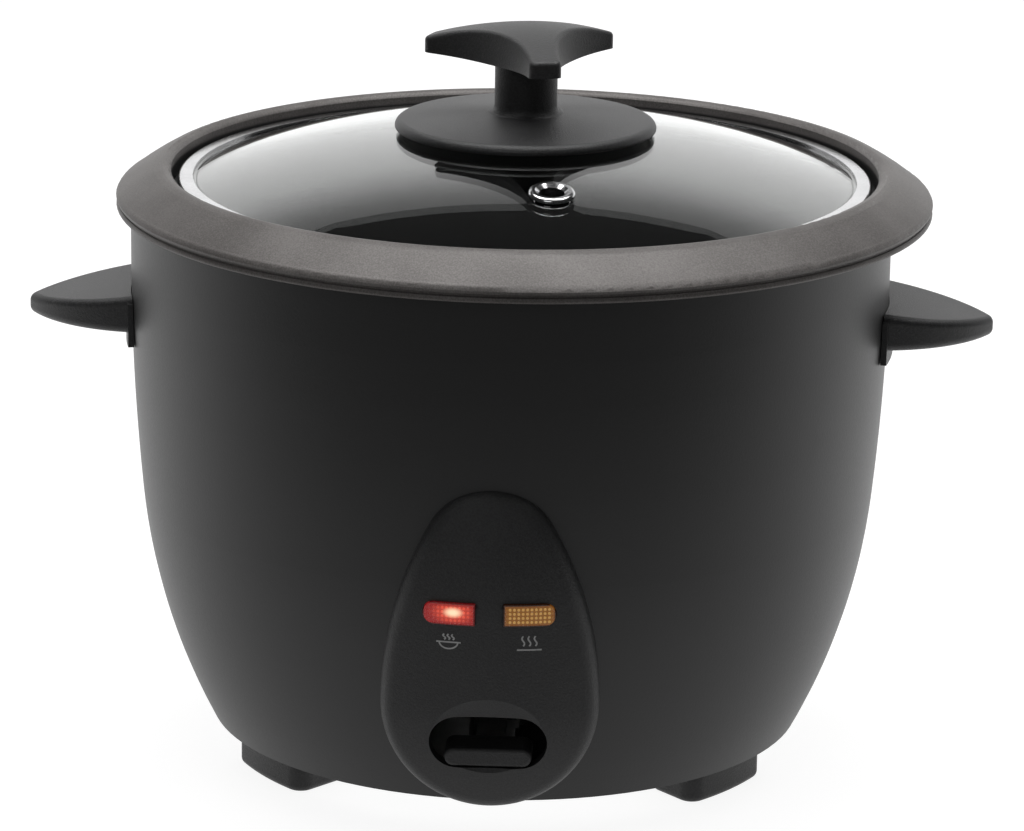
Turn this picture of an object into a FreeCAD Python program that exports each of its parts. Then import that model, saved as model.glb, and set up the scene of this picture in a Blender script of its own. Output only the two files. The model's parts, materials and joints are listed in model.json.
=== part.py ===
import FreeCAD, Part
import Sketcher
import math
import os
import re

# Driving dimensions in millimetres and degrees; floor at z = 0, front towards -Y, +X to the right
SIZES = {
    # Drum-shaped outer shell
    "shell_radius": 112,
    "shell_wall": 0.8,
    "shell_top": 166,
    "shell_straight": 21,
    "shell_taper": 23.5,
    "shell_floor": 9.5,
    "shell_upper_curve": 700,
    "shell_lower_curve": 190,
    "shell_flange": 12.5,
    "base_overlap": 9,
    "base_thick": 1.2,
    # Feet
    "foot_angle": 54,
    "foot_span": 24.5,
    "foot_depth": 20,
    "foot_inset": 1.5,
    "foot_screw_inset": 8.5,
    "foot_head": 3.2,
    "foot_corner": 5,
    "foot_edge": 2,
    # Fits
    "fit_gap": 0.15,
    "run_gap": 0.3,
    "pin_gap": 0.05,
    # Heating plate and its posts
    "plate_top": 62,
    "plate_clear": 2,
    "plate_thick": 8,
    "plate_bore": 19.2,
    "boss_height": 5,
    "boss_radius": 7,
    "post_inset": 19,
    "post_radius": 5,
    "screw_radius": 2,
    "shield_clear": 16,
    "shield_thick": 0.8,
    "element_circle": 38,
    "element_radius": 3.6,
    # Sensing cap, magnet and spring cup
    "cap_radius": 16.6,
    "cap_wall": 1,
    "cap_height": 18,
    "cap_flange": 20.5,
    "cup_radius": 24,
    "cup_wall": 1,
    "cup_depth": 17,
    "spring_wire": 0.7,
    "spring_turns": 4,
    "ferrite_clear": 2.6,
    "ferrite_thick": 4,
    "magnet_thick": 4.6,
    "rod_radius": 2.4,
    "collar_radius": 6.5,
    "collar_thick": 2,
    # Inner pot
    "pot_shift": 3.8,
    "pot_clear": 14,
    "pot_draft": 3,
    "pot_corner": 20,
    "pot_wall": 1.5,
    "rim_rise": 10,
    "ledge_depth": 8,
    "rim_inset": 8,
    "rim_overhang": 8,
    "rim_drop": 12,
    # Lid
    "lid_clear": 2,
    "lid_turn": 9,
    "band_wall": 0.6,
    "band_cover": 4.4,
    "glass_thick": 3.4,
    "glass_rise": 15.6,
    "vent_inset": 39,
    "vent_hole": 3.6,
    "vent_radius": 6.6,
    "gasket_thick": 1,
    "skirt_radius": 38.4,
    "stem_radius": 9.2,
    "stem_height": 14,
    "grip_turn": 3.7,
    "grip_reach": 31,
    "grip_tip": 9.6,
    "grip_waist": 43,
    "grip_height": 25,
    "grip_dome": 5,
    "grip_edge": 4.4,
    "grip_corner": 2,
    # Side handles
    "handle_reach": 31,
    "handle_half": 23.5,
    "handle_tip": 4,
    "handle_edge": 2.3,
    "handle_below": 28,
    "handle_thick": 10.8,
    "handle_fall": 5,
    "handle_plate": 1.6,
    "handle_plate_drop": 3.6,
    "handle_screws": 12,
    # Control panel
    "panel_proud": 7,
    "panel_face": 70,
    "panel_top": 90,
    "panel_top_radius": 19,
    "panel_low": 46.2,
    "panel_low_radius": 30.6,
    "panel_flank": 110,
    "panel_wall": 3,
    "panel_ledge": 1.5,
    "panel_lean": 6.2,
    "panel_chin": 7,
    "panel_edge": 6,
    "slot_height": 36.9,
    "slot_width": 33,
    "slot_tall": 15,
    "scoop_tall": 27,
    "scoop_wide": 33,
    "scoop_depth": 4,
    "lamp_height": 75.2,
    "lamp_spread": 11.2,
    "lamp_width": 14.4,
    "lamp_tall": 6.2,
    "lamp_proud": 0.9,
    "lamp_bulb": 2.6,
    "lamp_bay": 19.5,
    # Cook lever
    "pivot_back": 46,
    "pivot_height": 24,
    "pivot_radius": 2,
    "hub_radius": 5,
    "lever_width": 8,
    "lever_thick": 2.5,
    "nose_radius": 2,
    "prong_fall": 1.6,
    "lever_low": 20,
    "paddle_width": 24.5,
    "paddle_tall": 5.4,
    "paddle_deep": 11,
    "paddle_proud": 1.5,
    "ear_thick": 1.2,
    # Switch worked by the lever
    "switch_front": 63,
    "switch_long": 27.8,
    "switch_wide": 10.3,
    "switch_tall": 15.9,
    "plunger_radius": 1.6,
    "plunger_out": 1.4,
    # Power inlet at the rear
    "inlet_height": 37,
    "inlet_inset": 6,
    "inlet_wide": 38,
    "inlet_tall": 28,
    "socket_wide": 24.4,
    "socket_tall": 16.4,
    "socket_deep": 17,
    "inlet_wall": 2.5,
}

# Sizes that follow from the driving dimensions
DERIVED = {
    "shell_opening": "shell_radius - shell_taper - shell_flange",
    "plate_radius": "shell_opening - plate_clear",
    "post_circle": "plate_radius - post_inset",
    "ear_front": "shell_opening - plate_clear",
    "shield_radius": "shell_radius - shield_clear",
    "ferrite_radius": "cap_radius - cap_wall - ferrite_clear",
    "pot_radius": "shell_radius - pot_clear",
    "pot_height": "shell_top + rim_rise - plate_top",
    "rim_inner": "shell_radius - rim_inset",
    "rim_outer": "shell_radius + rim_overhang",
    "lid_radius": "rim_inner - lid_clear",
    "vent_circle": "lid_radius - vent_inset",
    "handle_root": "shell_top - handle_below",
    "panel_front": "shell_radius + panel_proud",
    "inlet_rear": "shell_radius - inlet_inset",
}

doc = FreeCAD.newDocument("rice_cooker")
dims = doc.addObject("Spreadsheet::Sheet", "dims")
for row, (alias, size) in enumerate(SIZES.items(), 1):
    dims.set(f"A{row}", alias)
    dims.set(f"B{row}", str(size))
    dims.setAlias(f"B{row}", alias)
doc.recompute()

# Heights and radii worked out from the driving dimensions
KNEE = "(shell_top - shell_straight)"
SHELL_BASE = "(shell_radius - shell_taper)"
BASE_RADIUS = "(shell_opening + base_overlap)"
BASE_UNDER = "(shell_floor - base_thick)"
FOOT_SCREW = "(shell_radius - shell_taper - foot_screw_inset)"
PLATE_UNDER = "(plate_top - plate_thick)"
SHIELD_TOP = "(plate_top - plate_thick - boss_height)"
SHIELD_UNDER = f"({SHIELD_TOP} - shield_thick)"
CAP_UNDER = "(plate_top - cap_height)"
CUP_FLOOR = f"({SHIELD_UNDER} - cup_depth)"
FERRITE_TOP = "(plate_top - cap_wall)"
MAGNET_TOP = "(plate_top - cap_wall - ferrite_thick - run_gap)"
MAGNET_UNDER = f"({MAGNET_TOP} - magnet_thick)"
CREST = "(plate_top + pot_height)"
LEDGE = "(plate_top + pot_height - ledge_depth)"
GLASS_UNDER = f"({LEDGE} + band_wall)"
GLASS_EDGE = f"({GLASS_UNDER} + glass_thick)"
GLASS_TOP = f"({GLASS_EDGE} + glass_rise)"
DOME_RADIUS = "(lid_radius - band_cover - 1)"
SKIRT_UNDER = f"({GLASS_TOP} + gasket_thick)"
STEM_BASE = f"({SKIRT_UNDER} + 3.4)"
GRIP_TOP = f"({STEM_BASE} + grip_height)"
GRIP_UNDER = f"({STEM_BASE} + stem_height)"
HANDLE_UNDER = "(handle_root - handle_thick)"
PIVOT_Y = "(-pivot_back)"
NOSE_TOP = "(lever_low + nose_radius)"
TAB_UNDER = "(pivot_height + 6)"
SWITCH_TOP = f"({TAB_UNDER} - run_gap - plunger_out)"
SWITCH_UNDER = f"({SWITCH_TOP} - switch_tall)"
SWITCH_X = "(lever_width / 2 + 2 + ear_thick)"
PADDLE_FRONT = "(panel_front - scoop_depth + paddle_proud)"
PADDLE_UNDER = "(slot_height - slot_tall / 2 + run_gap)"
PADDLE_MID = f"({PADDLE_UNDER} + paddle_tall / 2)"
LEVER_FRONT = f"({PADDLE_FRONT} - 3)"

ALIASES = re.compile(r"\b(" + "|".join(SIZES) + r")\b")
RULES = re.compile(r"\b(" + "|".join(DERIVED) + r")\b")


def spelled(text):
    """Expression text with the derived sizes written out."""
    while RULES.search(text):
        text = RULES.sub(lambda found: f"({DERIVED[found[1]]})", text)
    return text


def bound(text):
    """Expression text with every driving dimension read from the sheet."""
    return ALIASES.sub(r"dims.\1", spelled(text))


def value(text):
    return float(dims.evalExpression(spelled(text)))


def bind(thing, **expressions):
    for prop, text in expressions.items():
        thing.setExpression(prop.replace("__", "."), bound(text))


def new_body(label):
    body = doc.addObject("PartDesign::Body", label)
    body.Label = label
    return body


def origin_of(body, role):
    return next(item for item in body.Origin.OriginFeatures if item.Role == role)


def side(start, end, radius):
    """Line between two corners, or an arc whose centre lies left of the way for a positive radius."""
    a = FreeCAD.Vector(*start, 0)
    b = FreeCAD.Vector(*end, 0)
    if radius is None:
        return Part.LineSegment(a, b)
    chord = b - a
    across = FreeCAD.Vector(-chord.y, chord.x, 0).normalize()
    rise = math.sqrt(max(radius ** 2 - chord.Length ** 2 / 4, 0))
    centre = (a + b) / 2 + across * math.copysign(rise, radius)
    first, last = (a, b) if radius > 0 else (b, a)
    angles = [math.atan2(p.y - centre.y, p.x - centre.x) for p in (first, last)]
    circle = Part.Circle(centre, FreeCAD.Vector(0, 0, 1), abs(radius))
    return Part.ArcOfCircle(circle, *angles)


def draw(body, role, *loops, offset="0"):
    """Sketch on one of the body's planes; corners are (x, y), or (x, y, radius) where an arc starts."""
    sketch = body.newObject("Sketcher::SketchObject", body.Label + "_outline")
    sketch.AttachmentSupport = [(origin_of(body, role), "")]
    sketch.MapMode = "FlatFace"
    bind(sketch, AttachmentOffset__Base__z=offset)
    named = []

    def fix(kind, place, text, number):
        named.append((sketch.addConstraint(Sketcher.Constraint(kind, *place, number)), text))

    for loop in loops:
        if loop[0] == "circle":
            x, y, radius = loop[1:]
            middle = FreeCAD.Vector(value(x), value(y), 0)
            circle = Part.Circle(middle, FreeCAD.Vector(0, 0, 1), value(radius))
            index = sketch.addGeometry(circle)
            fix("DistanceX", (-1, 1, index, 3), x, value(x))
            fix("DistanceY", (-1, 1, index, 3), y, value(y))
            fix("Radius", (index,), radius, value(radius))
            continue
        spots = [(value(corner[0]), value(corner[1])) for corner in loop]
        ends = []
        for number, corner in enumerate(loop):
            radius = value(corner[2]) if len(corner) > 2 else None
            shape = side(spots[number], spots[(number + 1) % len(loop)], radius)
            index = sketch.addGeometry(shape)
            ends.append((index, 1, 2) if radius is None or radius > 0 else (index, 2, 1))
            if radius is not None:
                fix("Radius", (index,), f"abs({corner[2]})", abs(radius))
        for number, (index, first, last) in enumerate(ends):
            after = ends[(number + 1) % len(ends)]
            sketch.addConstraint(Sketcher.Constraint("Coincident", index, last, after[0], after[1]))
            x, y = loop[number][:2]
            fix("DistanceX", (-1, 1, index, first), x, spots[number][0])
            fix("DistanceY", (-1, 1, index, first), y, spots[number][1])
    for index, text in named:
        sketch.setExpression(f"Constraints[{index}]", bound(text))
    return sketch


def drum_outline(body, grow, floor):
    """Filled half section of the drum, grown by a given amount, as a sketch on the XZ plane."""
    top = (value(f"shell_radius + {grow}"), value("shell_top + 20"))
    knee = (top[0], value(KNEE))
    foot = (value(f"{SHELL_BASE} + {grow}"), value(floor))
    upper = value(f"shell_upper_curve + {grow}")
    lower = value(f"shell_lower_curve + {grow}")
    # Where the two arcs meet: the lower centre is seen from the upper centre at this angle
    high = (knee[0] - upper, knee[1])
    reach = math.hypot(foot[0] - high[0], foot[1] - high[1])
    share = ((upper - lower) ** 2 + reach ** 2 - lower ** 2) / (2 * (upper - lower) * reach)
    turn = math.atan2(high[1] - foot[1], foot[0] - high[0]) - math.acos(min(share, 1))
    meet = (high[0] + upper * math.cos(turn), high[1] - upper * math.sin(turn))
    sketch = body.newObject("Sketcher::SketchObject", body.Label + "_drum")
    sketch.AttachmentSupport = [(origin_of(body, "XZ_Plane"), "")]
    sketch.MapMode = "FlatFace"
    corners = [(0, foot[1]), (0, top[1]), top, knee]
    for start, end in zip(corners, corners[1:]):
        sketch.addGeometry(side(start, end, None))
    sketch.addGeometry(side(knee, meet, -upper))
    sketch.addGeometry(side(meet, foot, -lower))
    sketch.addGeometry(side(foot, corners[0], None))
    # The arcs run from their low ends, so their first points are the low ones
    for joint in ((2, 2, 3, 2), (3, 1, 4, 2)):
        sketch.addConstraint(Sketcher.Constraint("Tangent", *joint))
    for joint in ((0, 2, 1, 1), (1, 2, 2, 1), (4, 1, 5, 1), (5, 2, 0, 1)):
        sketch.addConstraint(Sketcher.Constraint("Coincident", *joint))
    rules = [
        ("DistanceX", (-1, 1, 0, 1), "0"),
        ("DistanceY", (-1, 1, 0, 1), floor),
        ("DistanceX", (-1, 1, 1, 1), "0"),
        ("DistanceY", (-1, 1, 1, 1), "shell_top + 20"),
        ("DistanceX", (-1, 1, 1, 2), f"shell_radius + {grow}"),
        ("DistanceY", (-1, 1, 1, 2), "shell_top + 20"),
        ("DistanceX", (-1, 1, 2, 2), f"shell_radius + {grow}"),
        ("DistanceY", (-1, 1, 2, 2), KNEE),
        ("DistanceX", (-1, 1, 5, 1), f"{SHELL_BASE} + {grow}"),
        ("DistanceY", (-1, 1, 5, 1), floor),
        ("Radius", (3,), f"shell_upper_curve + {grow}"),
        ("Radius", (4,), f"shell_lower_curve + {grow}"),
    ]
    for kind, place, text in rules:
        index = sketch.addConstraint(Sketcher.Constraint(kind, *place, value(text)))
        sketch.setExpression(f"Constraints[{index}]", bound(text))
    return sketch


def feature(body, kind, sketch, **settings):
    made = body.newObject("PartDesign::" + kind, body.Label + "_" + kind.lower())
    made.Profile = sketch
    for prop, setting in settings.items():
        if prop in ("Length", "Angle") and isinstance(setting, str):
            bind(made, **{prop: setting})
        else:
            setattr(made, prop, setting)
    body.Tip = made
    return made


def turn_about_axis(body, sketch, kind="Revolution"):
    return feature(body, kind, sketch, ReferenceAxis=(sketch, ["V_Axis"]), Angle=360.0)


def turned(label, *loops, body=None):
    """Body turned about the Z axis from (radius, height) corners."""
    body = body or new_body(label)
    turn_about_axis(body, draw(body, "XZ_Plane", *loops))
    return body


def cut_drum(body):
    """Take away everything within the shell, leaving a fit gap."""
    turn_about_axis(body, drum_outline(body, "fit_gap", "shell_floor - 20"), "Groove")


def turn_about_line(body, sketch, spot, kind="Revolution", level=False):
    """Turn a sketch about an upright line at x = spot, or about a level line at y = spot."""
    ends = [(value(spot), 0), (value(spot), 10)]
    if level:
        ends = [(y, x) for x, y in ends]
    index = sketch.addGeometry(Part.LineSegment(*(FreeCAD.Vector(*end, 0) for end in ends)), True)
    sketch.addConstraint(Sketcher.Constraint("Horizontal" if level else "Vertical", index))
    reach = "DistanceY" if level else "DistanceX"
    here = sketch.addConstraint(Sketcher.Constraint(reach, -1, 1, index, 1, value(spot)))
    sketch.setExpression(f"Constraints[{here}]", bound(spot))
    return feature(body, kind, sketch, ReferenceAxis=(sketch, ["Axis0"]), Angle=360.0)


def studs(label, profile, spots):
    """Equal turned pieces standing along the body's own Z axis at several places."""
    body = new_body(label)
    for x, y in spots:
        corners = [(f"{x} + ({corner[0]})",) + tuple(corner[1:]) for corner in profile]
        turn_about_line(body, draw(body, "XZ_Plane", corners, offset=f"-({y})"), x)
    return body


def box(x0, x1, y0, y1):
    return [(x0, y0), (x1, y0), (x1, y1), (x0, y1)]


def capsule(x, y, half_long, radius):
    """Slot outline lying along x."""
    left, right = f"{x} - ({half_long}) + ({radius})", f"{x} + ({half_long}) - ({radius})"
    far_left, far_right = f"{x} - ({half_long})", f"{x} + ({half_long})"
    low, high = f"{y} - ({radius})", f"{y} + ({radius})"
    return [(left, low), (right, low, radius), (far_right, y, radius), (right, high),
            (left, high, radius), (far_left, y, radius)]


def padded(label, role, loops, start, length, body=None, kind="Pad", **settings):
    """Outline on one of the body's planes, moved along the plane's normal and given a length."""
    body = body or new_body(label)
    sketch = draw(body, role, *loops, offset=start)
    feature(body, kind, sketch, Length=length, **settings)
    return body


def through(body, role, loops, kind="Pocket"):
    sketch = draw(body, role, *loops)
    return feature(body, kind, sketch, Type="ThroughAll", SideType="Symmetric")


def rounded(body, radius, wanted, kind="Fillet"):
    """Round the edges of the body's tip that the test accepts."""
    doc.recompute()
    tip = body.Tip
    names = [f"Edge{n}" for n, edge in enumerate(tip.Shape.Edges, 1) if wanted(edge)]
    made = body.newObject("PartDesign::" + kind, body.Label + "_" + kind.lower())
    made.Base = (tip, names)
    bind(made, Radius=radius)
    body.Tip = made
    return made


def place(body, x="0", y="0", z="0", axis=None, angle=None):
    if axis:
        body.Placement.Rotation = FreeCAD.Rotation(FreeCAD.Vector(*axis), 1)
        bind(body, Placement__Rotation__Angle=angle)
    bind(body, Placement__Base__x=x, Placement__Base__y=y, Placement__Base__z=z)


def polar(radius, angle):
    """Place at an angle from the front, counted towards +X."""
    return f"({radius} * sin({angle}))", f"(-{radius} * cos({angle}))"


FOOT_ANGLES = {
    "front_right": "foot_angle",
    "front_left": "(-foot_angle)",
    "rear_right": "(180 - foot_angle)",
    "rear_left": "(foot_angle - 180)",
}
FOOT_SPOTS = [polar(FOOT_SCREW, angle) for angle in FOOT_ANGLES.values()]
POST_SPOTS = [polar("post_circle", angle) for angle in ("60", "180", "300")]
HANDLE_SPOTS = ["handle_screws", "(-handle_screws)"]
HANDLE_MID = f"({HANDLE_UNDER} + 3.4)"


def holes(spots, radius):
    return [("circle", x, y, radius) for x, y in spots]


# Outline of the control panel: two circles joined by flank arcs that touch both from inside
EGG_RISE = "(panel_top - panel_low)"
TOP_ARM = "(panel_flank - panel_top_radius)"
LOW_ARM = "(panel_flank - panel_low_radius)"
FLANK_UP = f"(({LOW_ARM} ^ 2 - {TOP_ARM} ^ 2 + {EGG_RISE} ^ 2) / (2 * {EGG_RISE}))"
FLANK_OUT = f"sqrt({LOW_ARM} ^ 2 - {FLANK_UP} ^ 2)"


def egg(less):
    """Panel outline, drawn in by a given amount."""
    names = ("panel_top_radius", "panel_low_radius", "panel_flank")
    top, low, flank = (f"({name} - {less})" for name in names)
    top_x = f"{top} * {FLANK_OUT} / {TOP_ARM}"
    top_z = f"panel_top + {top} * ({EGG_RISE} - {FLANK_UP}) / {TOP_ARM}"
    low_x = f"{low} * {FLANK_OUT} / {LOW_ARM}"
    low_z = f"panel_low - {low} * {FLANK_UP} / {LOW_ARM}"
    return [
        ("0", f"panel_low - {low}", low), (low_x, low_z, flank), (top_x, top_z, top),
        ("0", f"panel_top + {top}", top), (f"-{top_x}", top_z, flank), (f"-{low_x}", low_z, low)]


# Outer shell: a drum with an inward flange below, a front window, a rear window and screw holes
shell = new_body("outer_shell")
turn_about_axis(shell, drum_outline(shell, "0", "shell_floor"))
turn_about_axis(shell, drum_outline(shell, "(-shell_wall)", "shell_floor + shell_wall"), "Groove")
padded("", "XY_Plane", [box("-200", "200", "-200", "200")], "shell_top", "60", body=shell,
       kind="Pocket", Reversed=True)
padded("", "XY_Plane", [("circle", "0", "0", "shell_opening")] + holes(FOOT_SPOTS, "screw_radius + fit_gap"),
       "shell_floor + shell_wall + 1", "shell_wall + 3", body=shell, kind="Pocket")
padded("", "XZ_Plane", [egg("(panel_wall + panel_ledge)")], "0", "shell_radius + 10", body=shell,
       kind="Pocket", Reversed=True)
INLET_HALF = "(socket_wide / 2 + inlet_wall)"
INLET_RISE = "(socket_tall / 2 + inlet_wall)"
padded("", "XZ_Plane",
       [box(f"-{INLET_HALF} - fit_gap", f"{INLET_HALF} + fit_gap",
            f"inlet_height - {INLET_RISE} - fit_gap", f"inlet_height + {INLET_RISE} + fit_gap")],
       "0", "shell_radius + 10", body=shell, kind="Pocket")
through(shell, "YZ_Plane", holes([(y, HANDLE_MID) for y in HANDLE_SPOTS], "screw_radius + fit_gap"))

# Base plate under the flange, with its screw holes and air slots
padded("base_plate", "XY_Plane",
              [("circle", "0", "0", BASE_RADIUS)] + holes(FOOT_SPOTS + POST_SPOTS, "screw_radius + fit_gap")
              + [capsule("0", y, "14", "2") for y in ("24", "32", "40")],
              BASE_UNDER, "base_thick")

# Four feet, each held by one screw that also clamps the plate to the shell flange
FOOT_OUT = f"({BASE_RADIUS} - foot_inset + 2)"
FOOT_IN = f"({FOOT_OUT} - foot_depth)"
HALF_SPAN = "(foot_span / 2)"
for name, angle in FOOT_ANGLES.items():
    foot = new_body("foot_" + name)
    outline = [polar(FOOT_OUT, f"(-{HALF_SPAN})") + (FOOT_OUT,), polar(FOOT_OUT, HALF_SPAN),
               polar(FOOT_IN, HALF_SPAN) + (f"-{FOOT_IN}",), polar(FOOT_IN, f"(-{HALF_SPAN})")]
    middle = polar(FOOT_SCREW, "0")
    padded("", "XY_Plane", [outline, ("circle", *middle, "screw_radius + fit_gap")], "0", BASE_UNDER,
           body=foot)
    padded("", "XY_Plane", [("circle", *middle, "foot_head + 0.4")], "0", "4", body=foot,
           kind="Pocket", Reversed=True)
    rounded(foot, "foot_corner", lambda edge: abs(edge.tangentAt(edge.FirstParameter).z) > 0.99
            and edge.Length > value(BASE_UNDER) - 0.1 and edge.Curve.TypeId == "Part::GeomLine"
            and min(abs(math.hypot(v.X, v.Y) - value(r)) for v in edge.Vertexes
                    for r in (FOOT_OUT, FOOT_IN)) < 0.1)
    rounded(foot, "foot_edge", lambda edge: edge.BoundBox.ZMax < 0.01 and not edge.isClosed())
    place(foot, axis=(0, 0, 1), angle=angle)
SHANK = [("0", "1.6"), ("foot_head", "1.6"), ("foot_head", "4"), ("screw_radius", "4"),
         ("screw_radius", "shell_floor + shell_wall + 3"), ("0", "shell_floor + shell_wall + 3")]
studs("foot_screws", SHANK, FOOT_SPOTS)

# Heating plate on three posts, with the pressed-in element below it
GROOVE = "(element_radius + fit_gap)"
plate = turned("heating_plate", [
    ("plate_bore", PLATE_UNDER), ("element_circle - element_radius - fit_gap", PLATE_UNDER, f"-{GROOVE}"),
    ("element_circle", f"{PLATE_UNDER} + {GROOVE}", f"-{GROOVE}"),
    ("element_circle + element_radius + fit_gap", PLATE_UNDER), ("plate_radius - 2", PLATE_UNDER),
    ("plate_radius", f"{PLATE_UNDER} + 2"), ("plate_radius", "plate_top - 1.5"),
    ("plate_radius - 1.5", "plate_top"), ("plate_bore", "plate_top")])
padded("", "XY_Plane", holes(POST_SPOTS, "boss_radius"), SHIELD_TOP, "boss_height + 1", body=plate)
padded("", "XY_Plane", holes(POST_SPOTS, "screw_radius + fit_gap"), f"{SHIELD_TOP} - 1",
       "boss_height + plate_thick - 1", body=plate, kind="Pocket", Reversed=True)
element = new_body("heating_element")
ring = draw(element, "XZ_Plane", ("circle", "element_circle", PLATE_UNDER, "element_radius"))
feature(element, "Revolution", ring, ReferenceAxis=(ring, ["V_Axis"]), Angle="320")
place(element, axis=(0, 0, 1), angle="290")
TERMINAL_SPOTS = [polar("element_circle", "166"), polar("element_circle", "194")]
studs("heater_terminals", [
    ("0", f"{SHIELD_UNDER} - 7"), ("1.5", f"{SHIELD_UNDER} - 7"), ("1.5", f"{SHIELD_UNDER} - 3"),
    ("2.6", f"{SHIELD_UNDER} - 3"), ("2.6", f"{PLATE_UNDER} - element_radius - 0.1"),
    ("0", f"{PLATE_UNDER} - element_radius - 0.1")],
    TERMINAL_SPOTS)
studs("plate_posts", [
    ("screw_radius + fit_gap", "shell_floor"), ("post_radius", "shell_floor"),
    ("post_radius", SHIELD_UNDER), ("screw_radius + fit_gap", SHIELD_UNDER)], POST_SPOTS)
studs("plate_screws", [
    ("0", f"{BASE_UNDER} - 2.4"), ("screw_radius * 2", f"{BASE_UNDER} - 2.4"),
    ("screw_radius * 2", BASE_UNDER), ("screw_radius", BASE_UNDER),
    ("screw_radius", f"{PLATE_UNDER} + 2"), ("0", f"{PLATE_UNDER} + 2")], POST_SPOTS)
SHIELD_HOLE = "(cap_radius + 1.4)"
padded("heat_shield", "XY_Plane",
       [("circle", "0", "0", "shield_radius"), ("circle", "0", "0", SHIELD_HOLE)]
       + holes(POST_SPOTS, "screw_radius + fit_gap")
       + holes(TERMINAL_SPOTS, "4"),
       SHIELD_UNDER, "shield_thick")

# Sensing cap that stands up through the heating plate on its spring
SPRING_LOW = f"({CUP_FLOOR} + cup_wall)"
turned("spring_cup", [
    ("rod_radius + run_gap", CUP_FLOOR), ("cup_radius", CUP_FLOOR),
    ("cup_radius", f"{SHIELD_UNDER} - cup_wall"),
    ("cup_radius + 6", f"{SHIELD_UNDER} - cup_wall"), ("cup_radius + 6", SHIELD_UNDER),
    ("cup_radius - cup_wall", SHIELD_UNDER), ("cup_radius - cup_wall", SPRING_LOW),
    ("rod_radius + run_gap", SPRING_LOW)])
turned("sensing_cap", [
    ("cap_radius - cap_wall", CAP_UNDER), ("cap_flange", CAP_UNDER),
    ("cap_flange", f"{CAP_UNDER} + cap_wall"),
    ("cap_radius", f"{CAP_UNDER} + cap_wall"), ("cap_radius", "plate_top - 1"),
    ("cap_radius - 1", "plate_top"),
    ("0", "plate_top"), ("0", FERRITE_TOP), ("cap_radius - cap_wall", FERRITE_TOP)])
turned("sensing_ferrite", [
    ("0", f"{FERRITE_TOP} - ferrite_thick"), ("ferrite_radius", f"{FERRITE_TOP} - ferrite_thick"),
    ("ferrite_radius", FERRITE_TOP), ("0", FERRITE_TOP)])
turned("latch_magnet", [
    ("rod_radius + fit_gap", MAGNET_UNDER), ("ferrite_radius", MAGNET_UNDER), ("ferrite_radius", MAGNET_TOP),
    ("rod_radius + fit_gap", MAGNET_TOP)])
COLLAR_UNDER = f"({NOSE_TOP} + run_gap)"
turned("magnet_rod", [
    ("0", f"{COLLAR_UNDER} - 6"), ("rod_radius", f"{COLLAR_UNDER} - 6"), ("rod_radius", COLLAR_UNDER),
    ("collar_radius", COLLAR_UNDER), ("collar_radius", f"{COLLAR_UNDER} + collar_thick"),
    ("rod_radius", f"{COLLAR_UNDER} + collar_thick"), ("rod_radius", f"{MAGNET_UNDER} - 1.4"),
    ("ferrite_radius - 2", f"{MAGNET_UNDER} - 1.4"), ("ferrite_radius - 2", MAGNET_UNDER),
    ("rod_radius", MAGNET_UNDER), ("rod_radius", f"{MAGNET_TOP} - 0.4"), ("0", f"{MAGNET_TOP} - 0.4")])

# Cap spring: one unbroken wire wound between the cup floor and the cap flange
spring = doc.addObject("Part::Helix", "cap_spring_path")
bind(spring, Height=f"{CAP_UNDER} - {SPRING_LOW} - 2 * spring_wire - 0.2",
     Pitch=f"({CAP_UNDER} - {SPRING_LOW} - 2 * spring_wire - 0.2) / spring_turns",
     Radius="(cap_flange + cap_radius) / 2")
bind(spring, Placement__Base__z=f"{SPRING_LOW} + spring_wire + 0.1")
wire = doc.addObject("Part::Circle", "cap_spring_wire")
wire.Placement.Rotation = FreeCAD.Rotation(FreeCAD.Vector(1, 0, 0), 90)
bind(wire, Radius="spring_wire", Placement__Base__x="(cap_flange + cap_radius) / 2",
     Placement__Base__z=f"{SPRING_LOW} + spring_wire + 0.1")
coil = doc.addObject("Part::Sweep", "cap_spring")
coil.Label = "cap_spring"
coil.Sections = [wire]
coil.Spine = spring
coil.Solid = True
coil.Frenet = True

# Inner pot and the rolled rim round its ledge; the pot stands a little to the right, as loose pots do
POT_BASE = "(pot_radius - pot_draft)"
LEDGE_UNDER = f"({LEDGE} - pot_wall)"
RIM_LOW = f"({CREST} - rim_drop)"
pot = turned("inner_pot", [
    ("0", "plate_top"), (f"{POT_BASE} - pot_corner", "plate_top", "pot_corner"),
    (POT_BASE, "plate_top + pot_corner"), ("pot_radius", f"{LEDGE_UNDER} - 2", "-2"),
    ("pot_radius + 2", LEDGE_UNDER), ("rim_inner + pot_wall", LEDGE_UNDER), ("rim_inner + pot_wall", LEDGE),
    ("pot_radius - pot_wall + 1.5", LEDGE, "1.5"), ("pot_radius - pot_wall", f"{LEDGE} - 1.5"),
    (f"{POT_BASE} - pot_wall", "plate_top + pot_corner", "-(pot_corner - pot_wall)"),
    (f"{POT_BASE} - pot_corner", "plate_top + pot_wall"), ("0", "plate_top + pot_wall")])
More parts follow.
